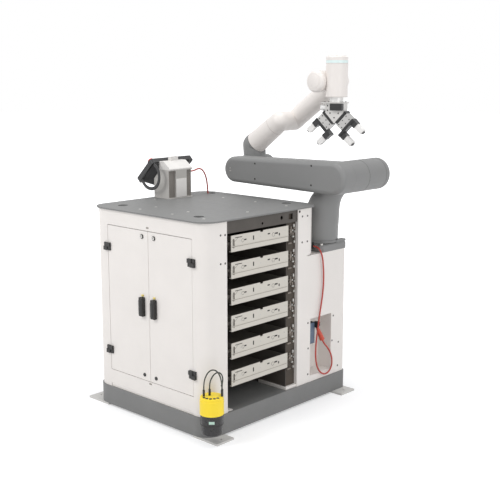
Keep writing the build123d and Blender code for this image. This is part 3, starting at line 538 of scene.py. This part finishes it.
pucks("rear_screws", "cell", "panel_white", rear_screws, (0, 1, 0), 5, 0.8, "screw_dark",
      round_off=0.3)
print(len(table_screws) + len(SIDE_SCREWS) + len(rear_screws), "screws")

# %% [markdown]
# ## Doors
# A door's lock has a small key slot, the handle is a flat paddle with a recess and a
# yellow release tab above it, and little guide tabs sit where the doors meet.

# %% Door details
HANDLES = (-30, 54)
LOCK_Z = 905
seam_x = sum(HANDLES) / 2
for side, x in zip(("left", "right"), HANDLES):
    body = "door_" + side
    pucks(f"lock_{side}", body, "fitting_black", [(x, FRONT - 4, LOCK_Z)], (0, -1, 0), 9, 1.2,
          "screw_steel", round_off=0.5)
    slabs(f"key_slot_{side}", body, "fitting_black", [((x, FRONT - 5.4, LOCK_Z), (2, 1, 9))],
          "shadow_gap", round_off=0.2)
    slabs(f"release_tab_{side}", body, "fitting_black", [((x, FRONT - 3, 619), (14, 6, 9))],
          "mark_yellow", round_off=2)
    slabs(f"paddle_{side}", body, "fitting_black", [((x, FRONT - 22.4, 563), (17, 1.6, 70))],
          round_off=0.6)
slabs("split_tabs", "cell", "panel_white",
      [((seam_x, FRONT - 1, 950), (16, 2.4, 7)), ((seam_x, FRONT - 1, 186), (16, 2.4, 7))],
      "fold_shade", round_off=0.5)
door_mid_x = (corner("door_left")[0].x + corner("door_right")[1].x) / 2
slabs("kick_strip", "cell", "panel_white", [((door_mid_x, FRONT + 3, 116), (598, 3, 21))],
      round_off=0.3)
print("door details")

# %% [markdown]
# ## Drawers
# Each drawer front is a folded sheet: a fold line runs along it, and there are slots, a
# round hole and a dark finger slot. Thin dark inlays of painted shade read as those
# cut-outs, and a raised fold with a painted shade strip under it gives the shadow line; a
# diagonal strip of painted shade draws a crease. All ride with their own drawer.

# %% Drawer details
INLAY = 0.8
MARKS = ((-200, 27, 7, 20), (-255, 28, 14, 6), (-94, 22, 16, 6), (-40, 26, 20, 7),
         (-19, 34, 7, 12), (-300, 12, 46, 3))
CREASE = Matrix.Rotation(math.radians(38), 4, "X")
for number in range(1, 7):
    node = f"drawer_{number}"
    low, high = corner(node)
    body, x, top = node, high.x, high.z
    mid = (low.y + high.y) / 2
    run = high.y - low.y - 8
    slabs(f"fold_{number}", body, "drawer_grey",
          [((x + 0.5, mid, top - 50), (2, run, 2.4))], "drawer_front", round_off=0.7)
    slabs(f"fold_shade_{number}", body, "drawer_grey",
          [((x + 0.1, mid, top - 53), (INLAY, run, 2.4))], "fold_shade", round_off=0.2)
    marks = [((x + 0.1, y, top - drop), (INLAY, wide, tall)) for y, drop, wide, tall in MARKS]
    slabs(f"slots_{number}", body, "drawer_grey", marks, "shadow_gap", round_off=0.2)
    slabs(f"crease_{number}", body, "drawer_grey", [((x + 0.1, -318, top - 24), (INLAY, 44, 2))],
          "fold_shade", turn=CREASE, round_off=0.2)
    hoops(f"eyes_{number}", body, "drawer_grey",
          [((x, y, top - 30), (1, 0, 0), radius, 0.9) for y, radius in ((-272, 8), (-62, 9))],
          "shadow_gap", sides=24)
    pucks(f"rivets_{number}", body, "drawer_grey",
          [(x, low.y + 60, top - 30), (x, mid, top - 30), (x, high.y - 25, top - 20)], (1, 0, 0),
          3.2, 0.9, "screw_steel", sides=16, round_off=0.3)
print("six drawers dressed")

# %% [markdown]
# ## Behind the drawers' edge
# Between the drawers and the column the view goes into a narrow dark slot full of catches
# and bright fixings. A dark sheet of painted shade closes the slot a little behind the
# face, also behind the rail's square window, and small pads of two metals on it stand for
# the catches' springs and levers. A white sill lies on the skid below.

# %% Painted shade in the slot
slabs("slot_shade_sheet", "cell", "inner_dark", [((385, 85, 556), (1.6, 67, 890))], "bay_shadow",
      round_off=0.3)
tops = [corner(f"drawer_{number}")[1].z for number in range(1, 7)]
BRIGHT = ((102, -8, 9, 15), (110, -38, 7, 8), (98, -62, 13, 7), (106, -88, 8, 12), (92, -30, 6, 9))
DULL = ((104, -22, 12, 9), (94, -48, 10, 16), (108, -74, 10, 9), (72, -92, 26, 8))
for name, spots, mat in (("bright", BRIGHT, "screw_steel"), ("dull", DULL, "latch_steel")):
    pads = [((389, y, top + dz), (8, wide, high)) for top in tops for y, dz, wide, high in spots]
    slabs(f"slot_pads_{name}", "cell", "inner_dark", pads, mat, round_off=1)
slabs("bay_sill", "cell", "foot_plate", [((306, 80, 113), (188, 78, 15))], "panel_white",
      round_off=1)
print("slot lined for", len(tops), "drawers")

# %% [markdown]
# ## Robot arm
# Painted castings meet at turning joints, which show as fine dark lines, and flat round
# lids with a small step close the ends. The lower arm's cover has four screws. Rings a
# fraction of a millimetre proud draw the seams.

# %% Robot seams, lids and screws
J1 = Vector((299.5, 410, 767))
J2 = Vector((514.5, 410, 1156))
J3 = Vector((-150.5, 410, 1156))
FORE = math.radians(35.5)
ELBOW_RISE = 104
FORE_LENGTH = 651
WRIST_REACH = 80
DRUM_BACK = 208
ELBOW_BACK = 104
KNUCKLE_BACK = 150
WRIST_FRONT = 82
HEAD_TOP = 124
FORE_U = Vector((math.cos(FORE), 0, math.sin(FORE)))
ELBOW = J3 + Vector((-math.sin(FORE), 0, math.cos(FORE))) * ELBOW_RISE
J5 = ELBOW + FORE_U * FORE_LENGTH
J6 = J5 + Vector((WRIST_REACH, 0, 0))
Y = Vector((0, 1, 0))
Z = Vector((0, 0, 1))

hoops("foot_seam", "cell", "robot_grey", [(J1 + Z * 37, Z, 99, 2)], "shadow_gap")
hoops("collar_seam", "shoulder", "robot_grey", [(J1 + Z * 52.5, Z, 97, 2.4)], "robot_seam")
arm_screws = [(12, 230, 1198), (12, 230, 1118), (390, 230, 1212), (390, 230, 1116)]
pucks("arm_screws", "lower_arm", "robot_grey", arm_screws, -Y, 5, 0.8, "shadow_gap",
      round_off=0.3)
pucks("elbow_marks", "lower_arm", "robot_grey", [(-168, 230, 1163), (-168, 230, 1148)], -Y, 3.4,
      0.8, "screw_steel", round_off=0.3)
hoops("shoulder_seam", "shoulder", "robot_grey",
      [(J2 + Y * 30, Y, 80, 2), (J2 + Y * 172, Y, 80, 2)], "robot_seam")
pucks("shoulder_lid", "shoulder", "robot_grey", [J2 + Y * DRUM_BACK], Y, 60, 3, "robot_grey",
      sides=64, round_off=1.2)
pucks("elbow_lid", "elbow", "robot_grey", [J3 + Y * ELBOW_BACK], Y, 46, 3, "robot_grey", sides=64,
      round_off=1.2)
hoops("elbow_seams", "elbow", "robot_grey",
      [(ELBOW + FORE_U * 86.6, FORE_U, 60.8, 1.6)], "robot_seam")
hoops("root_seams", "elbow", "robot_white", [(ELBOW + FORE_U * 247, FORE_U, 55.2, 1.6)],
      "white_seam")
hoops("wrist_seams", "wrist", "robot_white",
      [(J5 + Y * 59, Y, 54, 2), (J5 - Y * 50, Y, 54, 1.4), (J6 + Z * 88, Z, 54.5, 1.4),
       (J6 - Z * 74, Z, 54.5, 1.6)], "white_seam")
pucks("wrist_lid", "wrist", "robot_white", [J5 - Y * WRIST_FRONT], -Y, 34, 2, "robot_white",
      sides=64, round_off=0.9)
pucks("knuckle_lid", "forearm", "robot_white", [J5 + Y * KNUCKLE_BACK], Y, 34, 2, "robot_white",
      sides=64, round_off=0.9)
pucks("head_lid", "wrist", "robot_white", [J6 + Z * HEAD_TOP], Z, 45, 1.6, "robot_white", sides=64,
      round_off=0.8)
key_at = J6 + Z * (HEAD_TOP + 1.4) + Vector((14, -22, 0))
pucks("head_key", "wrist", "robot_white", [key_at], Z, 6, 1.4, "white_seam", round_off=0.5)
bolts = [(J1.x + sx * 88, J1.y + sy * 88, 803) for sx in (-1, 1) for sy in (-1, 1)]
pucks("foot_bolts", "cell", "robot_grey", bolts, Z, 8, 7, "screw_steel", round_off=1.2)
print("robot dressed")

# %% Gripper screws
TOOL_DROP = 101
TOOL_Z = J6.z - TOOL_DROP
turn = Matrix.Rotation(GRIP_TURN, 4, "Z")


def on_tool(x, y, z):
    """A place on the gripper, from its own axes to the frame's."""
    return turn @ Vector((x, y, z)) + Vector((J6.x, J6.y, TOOL_Z))


front = turn @ Vector((0, -1, 0))
pucks("block_screws", "tool", "flange_metal",
      [on_tool(x, -27, z) for x, z in ((-36, -18), (-36, -40), (-22, -54), (22, -54), (0, -76))],
      front, 3.6, 1, "shadow_gap", sides=16, round_off=0.3)
pucks("adapter_screws", "tool", "flange_metal",
      [on_tool(x, y, 0) for x in (-52, 40) for y in (-24, 24)], Z, 4, 3, "screw_dark", sides=16,
      round_off=0.6)


def on_face(side, along, across, out):
    """A place on one sloping face of the gripper's wedge."""
    slope = math.hypot(WEDGE_HALF, WEDGE_DROP)
    down = Vector((-side * WEDGE_HALF / slope, 0, -WEDGE_DROP / slope))
    normal = Vector((side * WEDGE_DROP / slope, 0, -WEDGE_HALF / slope))
    start = Vector((side * WEDGE_HALF / 2, 0, -WEDGE_START - WEDGE_DROP / 2))
    return on_tool(*(start + down * along + normal * out + Vector((0, across, 0))))


for letter, side in (("a", -1), ("b", 1)):
    spots = [on_face(side, a, -25, o) for a in (-34, -6, 22) for o in (22, 44)]
    pucks(f"body_screws_{letter}", "tool", "gripper_silver", spots, front, 3, 0.8, "shadow_gap",
          sides=16, round_off=0.3)
print("gripper dressed")

# %% [markdown]
# ## Pendant
# The pendant leans on its stand with the screen turned away from the camera, so the
# photograph shows its deep back, a hand strap, and two bumps that stand out of its
# front edge: the stop button in its collar and a small key.

# %% Pendant details
holder_low, holder_high = corner("pendant_holder")
pad = Matrix.Translation(Vector((holder_low.x + 36, -2.5, 1215)) * MM)
pad = pad @ Matrix.Rotation(math.radians(-44), 4, "Y")
PAD_TOP = 13


def on_pad(mesh, name, slot, mat):
    bmesh.ops.transform(mesh, verts=mesh.verts, matrix=pad)
    keep(mesh, name, "cell", slot, mat)


mesh = bmesh.new()
slab(mesh, (-84, 18, PAD_TOP), (118, 200, 2), round_off=0.6)
on_pad(mesh, "pendant_screen", "pendant_black", "screen_glass")
mesh = bmesh.new()
puck(mesh, (-36, -114, PAD_TOP), Z, 21, 12, round_off=2, sides=32)
puck(mesh, (-96, -118, PAD_TOP), Z, 9, 12, round_off=2)
on_pad(mesh, "pendant_collars", "pendant_black", "fitting_black")
mesh = bmesh.new()
puck(mesh, (-36, -114, PAD_TOP + 12), Z, 15, 9, round_off=4, sides=32)
on_pad(mesh, "stop_button", "pendant_black", "stop_red")

STRAP_Y = -138
strap = bpy.data.curves.new("strap", "CURVE")
strap.bevel_depth = 2.2 * MM
strap.bevel_resolution = 2
strap.extrude = 7 * MM
STRAP = ((-8, -20), (4, -50), (-24, -98), (-70, -118), (-118, -98), (-146, -50), (-138, -18))
smooth_line(strap, [pad @ (Vector((x, STRAP_Y, z)) * MM) for x, z in STRAP])
strap.materials.append(FINISH["pendant_black"])
strap_obj = bpy.data.objects.new("hand_strap", strap)
bpy.context.scene.collection.objects.link(strap_obj)
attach(strap_obj, "cell")

# The holder's grooves are flat strips coloured darker as painted shade.
grooves = [((holder_high.x - 9.6, y, (holder_low.z + holder_high.z) / 2), (1, 38, 138))
           for y in (holder_low.y + 20, holder_high.y - 20)]
slabs("holder_grooves", "cell", "holder_grey", grooves, "groove_shade", round_off=0.2)
plate_at = (holder_high.x + 0.6, (holder_low.y + holder_high.y) / 2, holder_low.z + 55)
slabs("holder_plate", "cell", "holder_grey", [(plate_at, (1.4, 72, 96))], "cap_white",
      round_off=0.5)
print("pendant dressed")

# %% [markdown]
# ## Scanner, recess and skid
# The scanner has a pale display on its dark window band, a lighter rim under its yellow
# cap and small black bumps on its lid. The recess holds a blue-grey connector, and pale
# tabs lie on the skid beside the cabinet.

# %% Scanner and base details
scan_low, scan_high = corner("scanner_top")
SCAN = (scan_low + scan_high) / 2
toward = Vector((0.70, -0.714, 0))
place = Vector((SCAN.x, SCAN.y, 122)) + toward * 51.2
slabs("scanner_display", "cell", "scanner_black", [(place, (26, 13, 3))], "display_green",
      turn=aim(toward), round_off=0.8)
hoops("scanner_rim", "cell", "scanner_yellow", [(Vector((SCAN.x, SCAN.y, 155)), Z, 55, 8)],
      "scanner_yellow")
hoops("scanner_window", "cell", "scanner_black", [(Vector((SCAN.x, SCAN.y, 104)), Z, 52, 3)],
      "shadow_gap")
mesh = bmesh.new()
puck(mesh, Vector((SCAN.x, SCAN.y, 220)), Z, 53, 12.4, round_off=4, sides=64)
keep(mesh, "scanner_lid", "cell", "scanner_yellow")
mesh = bmesh.new()
for angle in range(-100, 20, 24):
    out_dir = Vector((math.cos(math.radians(angle)), math.sin(math.radians(angle)), 0))
    puck(mesh, Vector((SCAN.x, SCAN.y, 230)) + out_dir * 42, Z, 7, 5, round_off=2, sides=20)
keep(mesh, "scanner_bumps", "cell", "scanner_black")
slabs("skid_tabs", "cell", "foot_plate",
      [((374, -352, 108), (46, 34, 4)), ((368, 128, 108), (56, 120, 4))], "panel_white",
      round_off=1)
slabs("connector_shell", "cell", "fitting_black",
      [((392, 247, 356.5), (1.6, 46, 108))], "connector_blue", round_off=0.5)
print("scanner and base dressed")
